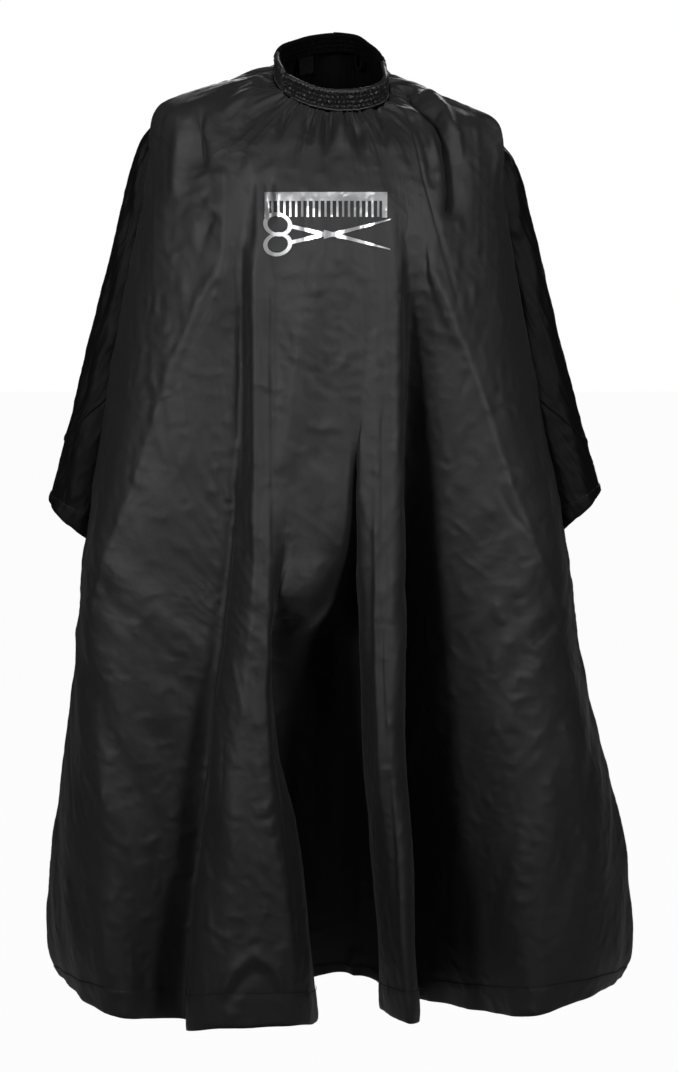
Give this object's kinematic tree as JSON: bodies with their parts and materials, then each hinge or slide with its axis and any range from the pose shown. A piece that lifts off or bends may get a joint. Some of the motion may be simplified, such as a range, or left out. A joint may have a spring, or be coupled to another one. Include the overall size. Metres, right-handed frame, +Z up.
{
  "type": "barber_cape_with_sleeves",
  "caption": "Black barber cape with batwing sleeves, a tilted stand-up neckband closed at the back by a snap tab, deep hanging folds, rolled hems and a silver chest emblem",
  "frame": {"origin": "centre of the neckband, on its axis at half its height", "axes": "+X to the viewer's right when looking at the front, +Y to the back of the cape, +Z up"},
  "size_m": [0.7714, 0.428, 1.2547],
  "materials": {
    "cloth": "smooth black nylon taffeta with a soft sheen",
    "hem_cloth": "the same taffeta, rolled and stitched",
    "band_cloth": "black taffeta quilted over elastic",
    "tape": "black twill tape",
    "elastic": "woven elastic",
    "piping": "fine grey piping cord",
    "snap_metal": "nickel press studs",
    "label": "blank woven label",
    "silver_foil": "satin silver transfer foil"
  },
  "bodies": {
    "cape": {"front_panel": "cloth", "back_left_panel": "cloth", "back_right_panel": "cloth", "front_hem": "hem_cloth", "back_left_hem": "hem_cloth", "back_right_hem": "hem_cloth", "back_left_edge": "hem_cloth", "back_right_edge": "hem_cloth", "left_shoulder_tape": "tape", "right_shoulder_tape": "tape", "neckband": "band_cloth", "neck_elastic": "elastic", "neckband_piping": "piping", "snap_studs": "snap_metal", "snap_posts": "snap_metal", "hanging_loop": "tape", "care_label": "label", "chest_emblem": "silver_foil"},
    "sleeve_left": {"left_sleeve": "cloth", "left_cuff": "cloth", "left_cuff_hem": "hem_cloth"},
    "sleeve_right": {"right_sleeve": "cloth", "right_cuff": "cloth", "right_cuff_hem": "hem_cloth"},
    "tab": {"neck_tab": "band_cloth", "snap_sockets": "snap_metal", "snap_caps": "snap_metal"}
  },
  "joints": [
    {"name": "left_sleeve_raise", "type": "hinge", "parent": "cape", "child": "sleeve_left", "pos_m": [-0.228, 0, -0.08], "axis": [0, 1, 0], "range_deg": [0, 60]},
    {"name": "right_sleeve_raise", "type": "hinge", "parent": "cape", "child": "sleeve_right", "pos_m": [0.228, 0, -0.08], "axis": [0, -1, 0], "range_deg": [0, 60]},
    {"name": "neck_tab_open", "type": "hinge", "parent": "cape", "child": "tab", "pos_m": [0.01627, 0.06491, 0.04056], "axis": [0, 0.5299, -0.848], "range_deg": [0, 110]}
  ]
}
